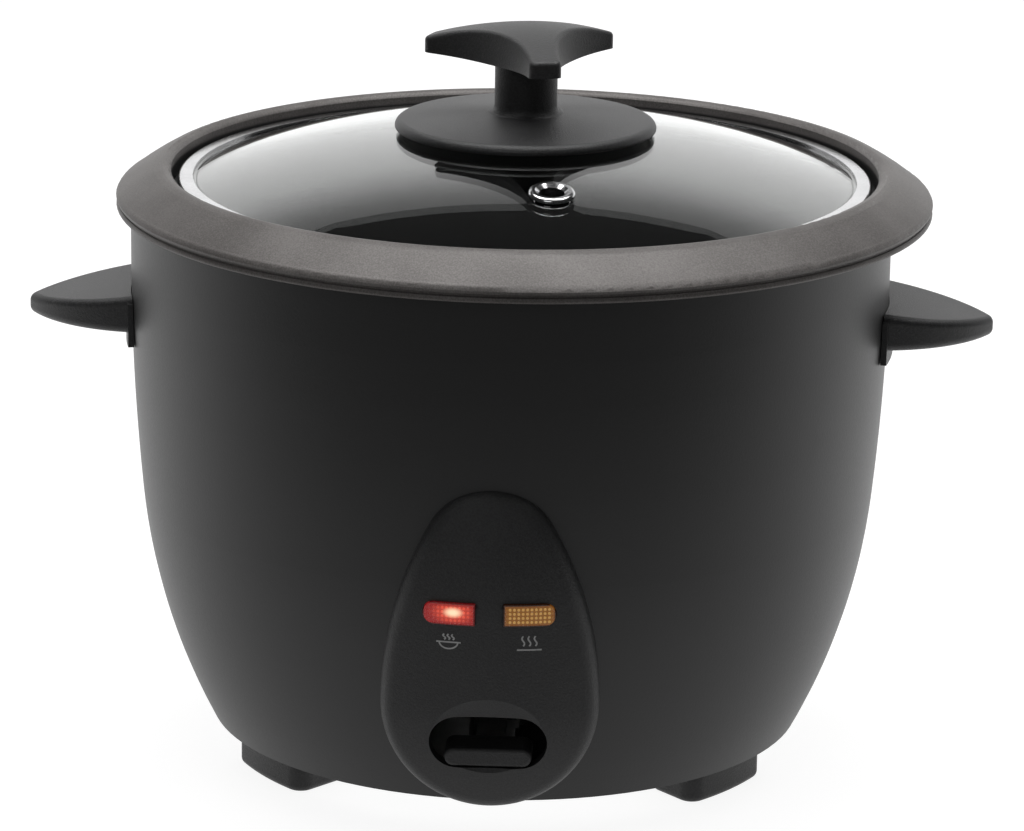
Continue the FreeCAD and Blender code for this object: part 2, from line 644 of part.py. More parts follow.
rim = turned("pot_rim", [
    ("rim_inner", LEDGE), ("rim_inner + pot_wall", LEDGE), ("rim_inner + pot_wall", f"{CREST} - 3.2"),
    ("rim_inner + pot_wall + 2", f"{CREST} - 2"), ("rim_outer - 2.6", f"{RIM_LOW} + 3.6"),
    ("rim_outer - 1.8", f"{RIM_LOW} + 2"), ("rim_outer - 1.8", RIM_LOW), ("rim_outer - 0.7", RIM_LOW, "0.8"),
    ("rim_outer - 0.1", f"{RIM_LOW} + 1", "0.8"), ("rim_outer - 0.8", f"{RIM_LOW} + 1.8", "-0.7"),
    ("rim_outer - 0.2", f"{RIM_LOW} + 2.6"), ("rim_outer", f"{RIM_LOW} + 3.4", "2.6"),
    ("rim_outer - 1.5", f"{RIM_LOW} + 5", "70"), ("rim_inner + 5", f"{CREST} - 0.8", "6"),
    ("rim_inner + 2.6", CREST, "3"), ("rim_inner", f"{CREST} - 1.4")])
for piece in (pot, rim):
    place(piece, x="pot_shift")

# Glass lid with its steel band, vent eyelet and knob
DOME = f"(({DOME_RADIUS} ^ 2 + glass_rise ^ 2) / (2 * glass_rise))"
GLASS_OUT = "(lid_radius - band_wall - fit_gap)"
VENT_X, VENT_Y = polar("vent_circle", "0")
glass = turned("lid_glass", [
    ("0", f"{GLASS_TOP} - glass_thick", f"-{DOME}"), (DOME_RADIUS, GLASS_UNDER), (GLASS_OUT, GLASS_UNDER),
    (GLASS_OUT, GLASS_EDGE), (DOME_RADIUS, GLASS_EDGE, DOME), ("0", GLASS_TOP)])
through(glass, "XY_Plane", holes([("0", "0")], "screw_radius + 1")
        + holes([(VENT_X, VENT_Y)], "vent_hole + 1.6"))
BAND_IN = "(lid_radius - band_cover)"
BAND_TOP = f"({GLASS_EDGE} + band_wall)"
band = turned("lid_band", [
    (BAND_IN, LEDGE), ("lid_radius", LEDGE), ("lid_radius", f"{BAND_TOP} - 1", "1"),
    ("lid_radius - 1", BAND_TOP), (BAND_IN, BAND_TOP), (BAND_IN, GLASS_EDGE),
    ("lid_radius - band_wall", GLASS_EDGE), ("lid_radius - band_wall", GLASS_UNDER), (BAND_IN, GLASS_UNDER)])
# Height of the glass surface at the vent, and the lean of the eyelet standing on it
VENT_RISE = f"(sqrt({DOME} ^ 2 - vent_circle ^ 2) - {DOME})"
VENT_LEAN = f"asin(vent_circle / {DOME})"
vent = turned("vent_eyelet", [
    ("vent_hole", "-glass_thick - 0.5"), ("vent_hole + 0.7", "-glass_thick - 0.5"),
    ("vent_hole + 0.7", "0.25"),
    ("vent_radius", "0.25"), ("vent_radius", "0.9", "1.2"), ("vent_radius - 1.2", "1.6"),
    ("vent_hole + 1.2", "1.6"), ("vent_hole", "0.7")])
BORE = "(screw_radius + fit_gap)"
gasket = turned("knob_gasket", [
    (BORE, GLASS_TOP), ("12", GLASS_TOP), ("12", SKIRT_UNDER), (BORE, SKIRT_UNDER)])
SKIRT_LOW = f"({GLASS_TOP} - 1)"
skirt = turned("knob_skirt", [
    (BORE, SKIRT_UNDER), ("12", SKIRT_UNDER), ("14", f"{SKIRT_UNDER} + 1.4"),
    ("skirt_radius - 1.8", f"{SKIRT_LOW} + 1"), ("skirt_radius - 1", SKIRT_LOW),
    ("skirt_radius - 0.4", SKIRT_LOW, "0.5"),
    ("skirt_radius", f"{SKIRT_LOW} + 0.5"), ("skirt_radius", f"{SKIRT_LOW} + 1", "2.4"),
    ("skirt_radius - 2", f"{SKIRT_LOW} + 2.8"),
    ("stem_radius + 2", f"{STEM_BASE} - 0.4"), ("stem_radius + 1.2", STEM_BASE), (BORE, STEM_BASE)])
GRIP_BORE = f"({GRIP_UNDER} - 1)"
grip = turned("knob_grip", [
    ("0", GRIP_BORE), (BORE, GRIP_BORE), (BORE, STEM_BASE), ("stem_radius + 0.6", STEM_BASE, "-3"),
    ("stem_radius", f"{STEM_BASE} + 2"), ("stem_radius", f"{GRIP_UNDER} + 3"), ("0", f"{GRIP_UNDER} + 3")])
TIP = "asin(grip_tip / 2 / grip_reach)"
star = []
for arm in ("0 deg", "120 deg", "240 deg"):
    star.append(polar("grip_reach", f"({arm} - {TIP})"))
    star.append(polar("grip_reach", f"({arm} + {TIP})") + ("-grip_waist",))
padded("", "XY_Plane", [star], GRIP_UNDER, f"{GRIP_TOP} - {GRIP_UNDER} + 1", body=grip)
rounded(grip, "grip_corner", lambda edge: edge.BoundBox.ZLength > 3 and edge.BoundBox.XLength < 0.01
        and math.hypot(edge.CenterOfMass.x, edge.CenterOfMass.y) > value("grip_reach") - 0.5)
GRIP_CURVE = "((grip_reach ^ 2 + grip_dome ^ 2) / (2 * grip_dome))"
turn_about_axis(grip, draw(grip, "XZ_Plane", [
    ("grip_reach", f"{GRIP_TOP} - grip_dome", GRIP_CURVE), ("0", GRIP_TOP), ("0", f"{GRIP_TOP} + 8"),
    ("grip_reach + 8", f"{GRIP_TOP} + 8"), ("grip_reach + 8", f"{GRIP_TOP} - grip_dome")]), "Groove")
turn_about_axis(grip, draw(grip, "XZ_Plane", [
    ("stem_radius + 1", f"{GRIP_UNDER} - 1"), ("grip_reach + 8", f"{GRIP_UNDER} - 1"),
    ("grip_reach + 8", f"{GRIP_TOP} - grip_dome - grip_edge"),
    ("grip_reach", f"{GRIP_TOP} - grip_dome - grip_edge"),
    ("stem_radius + 1", f"{GRIP_UNDER} + 0.4")]), "Groove")
rounded(grip, "1.4", lambda edge: edge.CenterOfMass.z > value(GRIP_UNDER) + 3.2
        and math.hypot(edge.CenterOfMass.x, edge.CenterOfMass.y) > value("stem_radius"))
WASHER_TOP = f"({GLASS_TOP} - glass_thick - 0.3)"
washer = turned("knob_washer", [
    (BORE, f"{WASHER_TOP} - 1"), ("10", f"{WASHER_TOP} - 1"), ("10", WASHER_TOP), (BORE, WASHER_TOP)])
screw = turned("knob_screw", [
    ("0", f"{WASHER_TOP} - 3.6"), ("3.4", f"{WASHER_TOP} - 3.6"), ("4.4", f"{WASHER_TOP} - 2.6"),
    ("4.4", f"{WASHER_TOP} - 1"), ("screw_radius", f"{WASHER_TOP} - 1"), ("screw_radius", f"{GRIP_BORE} - 1"),
    ("0", f"{GRIP_BORE} - 1")])
for piece in (glass, band, gasket, skirt, washer, screw):
    place(piece, x="pot_shift", axis=(0, 0, 1), angle="lid_turn")
place(grip, x="pot_shift", axis=(0, 0, 1), angle="lid_turn + grip_turn")
# The eyelet leans outwards about an axis that turns with the lid
vent_x, vent_y = polar("vent_circle", "lid_turn")
vent_turn = value("lid_turn")
place(vent, x=f"pot_shift + {vent_x}", y=vent_y, z=f"{GLASS_TOP} + {VENT_RISE}",
      axis=(math.cos(math.radians(vent_turn)), math.sin(math.radians(vent_turn)), 0), angle=VENT_LEAN)

# Side handles: a pointed wing that falls towards its tip, on a root plate that follows the shell
PLATE_LOW = f"({HANDLE_UNDER} - handle_plate_drop)"
PLATE_TURN = "(2 * asin((handle_half + 1) / shell_radius))"
TIP_X = "(shell_radius + handle_reach)"
WING_X = "(shell_radius - 6)"
SLOPE = "(handle_fall / handle_reach)"
TIP_RUN = f"({TIP_X} - handle_tip - {WING_X})"
WING_ARC = f"(({TIP_RUN} ^ 2 + handle_half ^ 2 - handle_tip ^ 2) / (2 * (handle_half - handle_tip)))"
TOUCH_X = f"({TIP_X} - handle_tip + handle_tip * {TIP_RUN} / ({WING_ARC} - handle_tip))"
TOUCH_Y = f"(handle_tip * ({WING_ARC} - handle_half) / ({WING_ARC} - handle_tip))"
for name, angle in (("right", "0"), ("left", "180")):
    handle = new_body("handle_" + name)
    padded("", "XY_Plane", [[
        ("shell_radius - 20", "-handle_half"), (WING_X, "-handle_half", WING_ARC),
        (TOUCH_X, f"-{TOUCH_Y}", "handle_tip"), (TOUCH_X, TOUCH_Y, WING_ARC), (WING_X, "handle_half"),
        ("shell_radius - 20", "handle_half")]], HANDLE_UNDER, "handle_thick + handle_fall", body=handle)
    through(handle, "XZ_Plane", [[
        ("shell_radius - 30", f"handle_root + 30 * {SLOPE}"),
        (f"{TIP_X} + 9", f"handle_root - (handle_reach + 9) * {SLOPE}"),
        (f"{TIP_X} + 9", "handle_root + 40"), ("shell_radius - 30", "handle_root + 40")]])
    rounded(handle, "handle_edge", lambda edge: edge.BoundBox.XLength > 0.1
            and edge.BoundBox.XMax > value("shell_radius - 15"))
    root = draw(handle, "XZ_Plane",
                box("shell_radius - 6", "shell_radius + handle_plate", PLATE_LOW, "handle_root - 1.5"))
    feature(handle, "Revolution", root, ReferenceAxis=(root, ["V_Axis"]), Angle=PLATE_TURN, Midplane=True)
    cut_drum(handle)
    padded("", "YZ_Plane", holes([(y, HANDLE_MID) for y in HANDLE_SPOTS], "screw_radius - 0.1"),
           "shell_radius - 20", "28", body=handle, kind="Pocket", Reversed=True)
    place(handle, axis=(0, 0, 1), angle=angle)
    screws = studs(f"handle_{name}_screws", [
        ("0", "shell_radius - 8"), ("screw_radius * 2", "shell_radius - 8"),
        ("screw_radius * 2", "shell_radius - 5.6"), ("screw_radius - 0.15", "shell_radius - 5.6"),
        ("screw_radius - 0.15", "shell_radius + 7"), ("0", "shell_radius + 7")],
        [(f"(-{HANDLE_MID})", y) for y in HANDLE_SPOTS])
    spots_turn = FreeCAD.Rotation(FreeCAD.Vector(0, 1, 0), 90)
    if name == "left":
        spots_turn = FreeCAD.Rotation(FreeCAD.Vector(0, 0, 1), 180).multiply(spots_turn)
    screws.Placement.Rotation = spots_turn

# Control panel: an egg-shaped cover with a bowed face, a lever slot in a scoop and two lamp windows
PANEL_PEAK = "(panel_top + panel_top_radius)"
PANEL_FOOT = "(panel_low - panel_low_radius)"
RISE_FROM = "(panel_top - 15)"
TOP_BOW = f"((({PANEL_PEAK} - {RISE_FROM}) ^ 2 + panel_lean ^ 2) / (2 * panel_lean))"
CHIN_BOW = f"(((panel_low - {PANEL_FOOT}) ^ 2 + panel_chin ^ 2) / (2 * panel_chin))"


def bow_face(body, proud):
    """Turn the front of a panel piece to the bowed face, standing proud of it by a given amount."""
    nose = f"(-panel_front - {proud})"
    outside = [
        (nose, "panel_low"), (nose, RISE_FROM, f"-{TOP_BOW}"), (f"{nose} + panel_lean", PANEL_PEAK),
        (f"{nose} + panel_lean", f"{PANEL_PEAK} + 9"), (f"{nose} - 30", f"{PANEL_PEAK} + 9"),
        (f"{nose} - 30", f"{PANEL_FOOT} - 9"), (f"{nose} + panel_chin", f"{PANEL_FOOT} - 9"),
        (f"{nose} + panel_chin", PANEL_FOOT, f"-{CHIN_BOW}")]
    turn_about_line(body, draw(body, "YZ_Plane", outside), "panel_face - panel_front", "Groove")


panel = padded("control_panel", "XZ_Plane", [egg("0")], "60", "panel_front - 60 + 2")
bow_face(panel, "0")
rounded(panel, "panel_edge", lambda edge: edge.BoundBox.YMax < -90
        and any(face.BoundBox.YMax > -61 for face in panel.Tip.Shape.ancestorsOfType(edge, Part.Face)))
cut_drum(panel)
padded("", "XZ_Plane", [egg("panel_wall")], "60", "panel_front - 60 - 17.5", body=panel, kind="Pocket",
       Reversed=True)
padded("", "XZ_Plane", [box("-lamp_bay", "lamp_bay", "slot_height - 10", "lamp_height + 7")], "60",
       "panel_front - 60 - 8", body=panel, kind="Pocket", Reversed=True)
# The scoop is a dish: its level arc is turned about a level line in front of the panel
SCOOP_TURN = "((scoop_tall ^ 2 / 4 + scoop_depth ^ 2) / (2 * scoop_depth))"
SCOOP_SIDE = "(scoop_depth - panel_face + sqrt(panel_face ^ 2 - scoop_wide ^ 2 / 4))"
SCOOP_ARC = f"((scoop_wide ^ 2 / 4 + {SCOOP_SIDE} ^ 2) / (2 * {SCOOP_SIDE}))"
SCOOP_SHORE = f"(scoop_depth - panel_front - {SCOOP_SIDE})"
SCOOP_LINE = f"(scoop_depth - panel_front - {SCOOP_TURN})"
dish = draw(panel, "XY_Plane", [
    ("scoop_wide / 2", SCOOP_SHORE, SCOOP_ARC), ("-scoop_wide / 2", SCOOP_SHORE),
    ("-scoop_wide / 2", SCOOP_LINE), ("scoop_wide / 2", SCOOP_LINE)],
    offset="slot_height")
turn_about_line(panel, dish, SCOOP_LINE, "Groove", level=True)
padded("", "XZ_Plane", [capsule("0", "slot_height", "slot_width / 2", "slot_tall / 2")], "60", "90",
       body=panel, kind="Pocket", Reversed=True)


def lens_outline(sign, grow):
    """Lamp window with its outer end rounded."""
    half_w, half_h = f"(lamp_width / 2 + {grow})", f"(lamp_tall / 2 + {grow})"
    inner = f"{sign} * (lamp_spread - {half_w})"
    bend = f"{sign} * (lamp_spread + {half_w} - {half_h})"
    outer = f"{sign} * (lamp_spread + {half_w})"
    low, high = f"lamp_height - {half_h}", f"lamp_height + {half_h}"
    arc = half_h if sign == "1" else f"-{half_h}"
    return [(inner, low), (bend, low, arc), (outer, "lamp_height", arc), (bend, high), (inner, high)]


padded("", "XZ_Plane", [lens_outline("1", "fit_gap"), lens_outline("(-1)", "fit_gap")], "60", "90",
       body=panel, kind="Pocket", Reversed=True)
LAMP_Y = "(panel_front - 9 - lamp_bulb - fit_gap)"
for name, sign in (("cook", "(-1)"), ("warm", "1")):
    lens = padded(name + "_lens", "XZ_Plane", [lens_outline(sign, "0")], "panel_front - 9", "20")
    bow_face(lens, "lamp_proud")
    padded(name + "_lamp", "YZ_Plane", [("circle", f"-{LAMP_Y}", "lamp_height", "lamp_bulb")],
           f"{sign} * lamp_spread - 6", "12")
padded("lamp_holder", "XZ_Plane",
       [box("-lamp_bay + fit_gap", "lamp_bay - fit_gap", "lamp_height - 5", "lamp_height + 5")],
       f"{LAMP_Y} - lamp_bulb - fit_gap - 1.5", "1.5")

# Cook lever on its pivot: paddle in front, fork under the magnet rod behind
lever = padded("cook_lever", "YZ_Plane", [[
    (f"-{LEVER_FRONT}", f"{PADDLE_MID} - lever_thick / 2"),
    ("-switch_front - 12", f"{PADDLE_MID} - lever_thick / 2"),
    (f"{PIVOT_Y} - 3", "pivot_height - 1"), (f"{PIVOT_Y} + 8", "lever_low - nose_radius"),
    ("-10", "lever_low - nose_radius"), ("-10", "lever_low + nose_radius"),
    (f"{PIVOT_Y} + 8", "lever_low + nose_radius + 3"), (f"{PIVOT_Y} - 3", "pivot_height + 4"),
    ("-switch_front - 12", f"{PADDLE_MID} + lever_thick / 2"),
    (f"-{LEVER_FRONT}", f"{PADDLE_MID} + lever_thick / 2")]], "-lever_width / 2", "lever_width")
padded("", "YZ_Plane", [("circle", PIVOT_Y, "pivot_height", "hub_radius")], "-lever_width / 2 - 1.6",
       "lever_width + 3.2", body=lever)
PRONG = "(rod_radius + 0.5)"
for sign in ("1", "(-1)"):
    start = f"{PRONG}" if sign == "1" else f"-{PRONG} - 3"
    padded("", "YZ_Plane", [[
        ("-12", "lever_low - nose_radius"), ("0", "lever_low - nose_radius", "nose_radius"),
        ("nose_radius", "lever_low", "nose_radius"), ("0", "lever_low + nose_radius"),
        ("-12", "lever_low + nose_radius - prong_fall")]], start, "3", body=lever)
padded("", "YZ_Plane", [box("-switch_front - 3", "-switch_front + 3", TAB_UNDER, f"{TAB_UNDER} + 3")], "0",
       f"{SWITCH_X} + switch_wide / 2 + 2", body=lever)
through(lever, "YZ_Plane", [("circle", PIVOT_Y, "pivot_height", "pivot_radius + pin_gap")])
paddle = padded("lever_paddle", "XZ_Plane",
                [capsule("0", PADDLE_MID, "paddle_width / 2", "paddle_tall / 2 - 0.01")],
                f"{PADDLE_FRONT} - paddle_deep", "paddle_deep")
padded("", "XZ_Plane", [box("-lever_width / 2 - fit_gap", "lever_width / 2 + fit_gap",
                            f"{PADDLE_MID} - lever_thick / 2 - fit_gap",
                            f"{PADDLE_MID} + lever_thick / 2 + fit_gap")],
       f"{PADDLE_FRONT} - paddle_deep", "paddle_deep - 2.8", body=paddle, kind="Pocket", Reversed=True)
rounded(paddle, "1", lambda edge: edge.CenterOfMass.y < -value(PADDLE_FRONT) + 0.1)
EAR_IN = "(lever_width / 2 + 2)"
bracket = padded("lever_bracket", "XY_Plane",
                 [box(f"-{EAR_IN} - ear_thick", f"{EAR_IN} + ear_thick", "-ear_front", f"{PIVOT_Y} + 9")],
                 "shell_floor", "ear_thick")
EAR = [("-ear_front", "shell_floor"), (f"{PIVOT_Y} + 9", "shell_floor"),
       (f"{PIVOT_Y} + 9", "pivot_height"), (f"{PIVOT_Y} + 5", "pivot_height + 6"),
       (f"{PIVOT_Y} - 5", "pivot_height + 6"), ("-ear_front", f"{SWITCH_TOP} - 2")]
for start in (EAR_IN, f"-{EAR_IN} - ear_thick"):
    padded("", "YZ_Plane", [EAR, ("circle", PIVOT_Y, "pivot_height", "pivot_radius")], start, "ear_thick",
           body=bracket)
PIN_END = f"({EAR_IN} + ear_thick + 1)"
padded("pivot_pin", "YZ_Plane", [("circle", PIVOT_Y, "pivot_height", "pivot_radius - 0.01")], f"-{PIN_END}",
       f"2 * {PIN_END}")

# Switch beside the lever, with its sliding plunger
switch = padded("cook_switch", "YZ_Plane",
                [box("-switch_front - switch_long / 2", "-switch_front + switch_long / 2",
                     SWITCH_UNDER, SWITCH_TOP)],
                f"{SWITCH_X} + fit_gap", "switch_wide")
PLUNGER_X = f"({SWITCH_X} + fit_gap + switch_wide / 2)"
padded("", "XY_Plane", [("circle", PLUNGER_X, "-switch_front", "plunger_radius + pin_gap")], SWITCH_TOP, "7",
       body=switch, kind="Pocket")
studs("switch_plunger", [
    ("0", f"{SWITCH_TOP} - 4"), ("plunger_radius", f"{SWITCH_TOP} - 4"),
    ("plunger_radius", f"{SWITCH_TOP} + plunger_out"), ("0", f"{SWITCH_TOP} + plunger_out")],
    [(PLUNGER_X, "-switch_front")])

# Parts of the circuit that sit against the shield: cut-out fuse and keep-warm thermostat
padded("thermal_fuse", "XZ_Plane", [("circle", "40", f"{SHIELD_UNDER} - 2.7", "2.6")], "-14", "24")
studs("keep_warm_thermostat", [
    ("0", f"{SHIELD_UNDER} - 9"), ("8", f"{SHIELD_UNDER} - 9"), ("8", f"{SHIELD_UNDER} - 2"),
    ("10", f"{SHIELD_UNDER} - 2"), ("10", f"{SHIELD_UNDER} - 0.1"), ("0", f"{SHIELD_UNDER} - 0.1")],
    [("-44", "0")])

# Power inlet at the rear with three pins
inlet = padded("power_inlet", "XZ_Plane",
               [box("-inlet_wide / 2", "inlet_wide / 2", "inlet_height - inlet_tall / 2",
                    "inlet_height + inlet_tall / 2")],
               "-inlet_rear", "30")
rounded(inlet, "3", lambda edge: abs(edge.tangentAt(edge.FirstParameter).y) > 0.99)
cut_drum(inlet)
padded("", "XZ_Plane",
       [box(f"-{INLET_HALF}", INLET_HALF, f"inlet_height - {INLET_RISE}", f"inlet_height + {INLET_RISE}")],
       "-inlet_rear + 2", "socket_deep + 1", body=inlet)
padded("", "XZ_Plane",
       [box("-socket_wide / 2", "socket_wide / 2", "inlet_height - socket_tall / 2",
            "inlet_height + socket_tall / 2")],
       "-inlet_rear", "socket_deep", body=inlet, kind="Pocket", Reversed=True)
pins = new_body("inlet_pins")
PIN_SPOTS = [("-7", "inlet_height - 2"), ("0", "inlet_height + 2"), ("7", "inlet_height - 2")]
PIN_BACK = "(inlet_rear - socket_deep - 3 - 8)"
for x, z in PIN_SPOTS:
    slot = [box(f"{x} - 1", f"{x} + 1", f"{z} - 2.5", f"{z} + 2.5")]
    padded("", "XZ_Plane", slot, "-inlet_rear + 2", "inlet_rear - 2 - " + PIN_BACK, body=pins)
    hole = [box(f"{x} - 1 - fit_gap", f"{x} + 1 + fit_gap", f"{z} - 2.5 - fit_gap", f"{z} + 2.5 + fit_gap")]
    padded("", "XZ_Plane", hole, "-inlet_rear", "40", body=inlet, kind="Pocket", Reversed=True)

doc.recompute()
os.makedirs("parts", exist_ok=True)
made = [body for body in doc.Objects if body.TypeId == "PartDesign::Body"] + [coil]
wrong = [thing.Label for thing in doc.Objects if {"Invalid", "Error"} & set(thing.State)]
bad = [body.Label for body in made if body.Shape.isNull() or not body.Shape.isValid()]
print("not built:", wrong, "not valid:", bad)
for body in made:
    if not body.Shape.isNull():
        print(body.Label, len(body.Shape.Solids), round(body.Shape.Volume))
        body.Shape.exportStep(f"parts/{body.Label}.step")
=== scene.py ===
import json
import math

import bpy
from mathutils import Matrix, Vector


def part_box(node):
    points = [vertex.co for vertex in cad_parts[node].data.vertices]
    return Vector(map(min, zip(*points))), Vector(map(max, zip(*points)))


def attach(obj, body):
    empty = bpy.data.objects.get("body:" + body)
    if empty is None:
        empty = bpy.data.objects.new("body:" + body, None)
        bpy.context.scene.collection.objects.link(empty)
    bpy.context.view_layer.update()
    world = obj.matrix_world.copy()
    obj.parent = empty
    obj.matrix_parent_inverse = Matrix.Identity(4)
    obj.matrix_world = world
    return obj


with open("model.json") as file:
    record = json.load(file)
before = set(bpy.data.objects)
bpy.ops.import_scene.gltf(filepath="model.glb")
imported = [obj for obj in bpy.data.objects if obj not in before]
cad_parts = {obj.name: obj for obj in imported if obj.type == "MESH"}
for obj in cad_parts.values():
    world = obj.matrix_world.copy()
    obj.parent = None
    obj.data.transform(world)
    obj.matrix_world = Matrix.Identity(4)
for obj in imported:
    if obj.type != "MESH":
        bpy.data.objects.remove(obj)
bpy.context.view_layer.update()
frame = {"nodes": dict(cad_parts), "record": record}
MM = 0.001
# Pitch of the moulded cells in the lamp lenses, and the radii between which the pot's black coat ends
CELL = 1.2 * MM
RIM_EDGE = 104.6 * MM, 105.2 * MM


class Field:
    """A shader socket that can be used in sums."""

    def __init__(self, graph, socket):
        self.graph = graph
        self.socket = socket

    def maths(self, operation, *values):
        return self.graph.node("ShaderNodeMath", {"operation": operation}, dict(enumerate(values)))

    def __add__(self, other):
        return self.maths("ADD", self, other)

    def __sub__(self, other):
        return self.maths("SUBTRACT", self, other)

    def __rsub__(self, other):
        return self.maths("SUBTRACT", other, self)

    def __mul__(self, other):
        return self.maths("MULTIPLY", self, other)

    def __truediv__(self, other):
        return self.maths("DIVIDE", self, other)

    def __pow__(self, other):
        return self.maths("POWER", self, other)

    __radd__ = __add__
    __rmul__ = __mul__

    def clipped(self):
        return self.maths("MINIMUM", self.maths("MAXIMUM", self, 0.0), 1.0)

    def sine(self):
        return self.maths("SINE", self)

    def above(self, limit):
        return self.maths("GREATER_THAN", self, limit)

    def ramp(self, low, high):
        """0 at low and 1 at high, eased between."""
        return self.graph.node("ShaderNodeMapRange", {"interpolation_type": "SMOOTHSTEP"},
                               {"Value": self, "From Min": low, "From Max": high})


class Graph:
    """A tree of shader nodes."""

    def __init__(self, tree):
        self.tree = tree

    def node(self, kind, settings=None, inputs=None, output=0):
        made = self.tree.nodes.new(kind)
        for name, setting in (settings or {}).items():
            setattr(made, name, setting)
        for name, setting in (inputs or {}).items():
            if isinstance(setting, Field):
                self.tree.links.new(setting.socket, made.inputs[name])
            else:
                made.inputs[name].default_value = setting
        return Field(self, made.outputs[output])

    def parts(self, vector):
        split = self.node("ShaderNodeSeparateXYZ", inputs={"Vector": vector})
        return [Field(self, split.socket.node.outputs[axis]) for axis in "XYZ"]

    def blend(self, mask, first, second):
        """Colour that goes from first to second with the mask."""
        mixed = self.node("ShaderNodeMix", {"data_type": "RGBA"}, {"Factor": mask})
        node = mixed.socket.node
        for index, colour in ((6, first), (7, second)):
            if isinstance(colour, Field):
                self.tree.links.new(colour.socket, node.inputs[index])
            else:
                node.inputs[index].default_value = (*colour, 1.0)
        return Field(self, node.outputs[2])

    def backdrop_rays(self):
        """1 for rays from the camera, off shiny surfaces and through glass."""
        rays = self.node("ShaderNodeLightPath", output="Is Camera Ray")
        shiny, through = (Field(self, rays.socket.node.outputs[name])
                          for name in ("Is Glossy Ray", "Is Transmission Ray"))
        return (rays + shiny + through).clipped()


class Paint(Graph):
    """A material with one Principled shader; names of its sockets set constants or take fields."""

    def __init__(self, name, **constants):
        self.material = bpy.data.materials.new(name)
        self.material.use_nodes = True
        super().__init__(self.material.node_tree)
        self.shader = self.tree.nodes["Principled BSDF"]
        for name_of_socket, setting in constants.items():
            self.shader.inputs[name_of_socket.replace("_", " ")].default_value = setting

    def place(self):
        """The piece's own coordinates, which are the row frame at rest."""
        return self.node("ShaderNodeTexCoord", output="Object")

    def noise(self, size, detail=2.0, roughness=0.5, stretch=(1, 1, 1)):
        """Noise with features of about the given size in metres."""
        scaled = self.node("ShaderNodeVectorMath", {"operation": "MULTIPLY"},
                           {0: self.place(), 1: [one / size for one in stretch]})
        return self.node("ShaderNodeTexNoise", {}, {"Vector": scaled, "Scale": 1.0, "Detail": detail,
                                                    "Roughness": roughness})

    def feed(self, socket, field):
        self.tree.links.new(field.socket, self.shader.inputs[socket])
        return self

    def bump(self, height, depth):
        """Relief of the given depth in metres."""
        return self.feed("Normal", self.node("ShaderNodeBump", {}, {"Height": height, "Distance": depth}))


def black_enamel():
    """Satin black paint on the steel drum, with a faint orange-peel and fine dust."""
    paint = Paint("black_enamel", Roughness=0.42, IOR=1.5)
    cloud = paint.noise(0.06)
    fleck = paint.noise(0.0007, detail=3)
    paint.feed("Base Color", paint.blend((cloud * 0.6 + fleck * 0.4).ramp(0.3, 0.75), (0.006, 0.006, 0.0062),
                                         (0.01, 0.01, 0.0103)))
    paint.feed("Roughness", 0.38 + 0.1 * fleck)
    return paint.bump(fleck, 0.00003)


def grained_plastic(name, low, high, rough=0.45):
    """Moulded plastic with the fine spark-eroded grain of its tool."""
    paint = Paint(name, IOR=1.48)
    grain = paint.noise(0.0006, detail=4, roughness=0.65)
    cloud = paint.noise(0.03)
    paint.feed("Base Color", paint.blend((grain * 0.7 + cloud * 0.3).ramp(0.35, 0.7), low, high))
    paint.feed("Roughness", rough - 0.08 + 0.16 * grain)
    return paint.bump(grain, 0.00018)


def pot_coat():
    """Warm grey metallic coat outside, near-black non-stick coat inside the pot."""
    paint = Paint("pot_coat")
    low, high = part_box("inner_pot")
    x, y, z = paint.parts(paint.place())
    x = x - (low.x + high.x) / 2
    radius = (x * x + y * y) ** 0.5
    normal = paint.node("ShaderNodeNewGeometry", output="Normal")
    across, along, up = paint.parts(normal)
    outward = (across * x + along * y) / radius
    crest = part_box("pot_rim")[1].z
    rim = (radius.ramp(*RIM_EDGE) + z.ramp(crest - 4 * MM, crest - 3 * MM)).clipped()
    outside = (rim + outward.above(0.1) + (0.0 - up).above(0.5)).clipped()
    speck = paint.noise(0.0005, detail=4, roughness=0.7)
    cloud = paint.noise(0.02)
    grain = (speck * 0.75 + cloud * 0.25).ramp(0.35, 0.68)
    grey = paint.blend(grain, (0.085, 0.077, 0.073), (0.165, 0.154, 0.148))
    black = paint.blend(paint.noise(0.0009, detail=5, roughness=0.8).ramp(0.66, 0.74), (0.006, 0.006, 0.006),
                        (0.09, 0.09, 0.09))
    paint.feed("Base Color", paint.blend(outside, black, grey))
    paint.feed("Metallic", outside * 0.3)
    paint.feed("Roughness", 0.42 + 0.12 * speck)
    return paint.bump(speck, 0.00005)


def clear_glass():
    """Clear lid glass with a few faint smears."""
    paint = Paint("clear_glass", Base_Color=(0.97, 0.99, 0.98, 1.0), Transmission_Weight=1.0, IOR=1.6)
    paint.feed("Roughness", 0.02 * paint.noise(0.03).ramp(0.55, 0.9))
    return paint


def bright_metal(name, colour, rough, size=0.0008, stretch=(1, 1, 1)):
    """Bare metal with fine marks of its finish."""
    paint = Paint(name, Metallic=1.0)
    mark = paint.noise(size, detail=3, stretch=stretch)
    stain = paint.noise(0.012)
    dark = [0.8 * part for part in colour]
    paint.feed("Base Color", paint.blend((mark * 0.5 + stain * 0.5).ramp(0.3, 0.7), dark, colour))
    paint.feed("Roughness", rough * 0.75 + rough * 0.5 * mark)
    return paint.bump(mark, 0.00002)


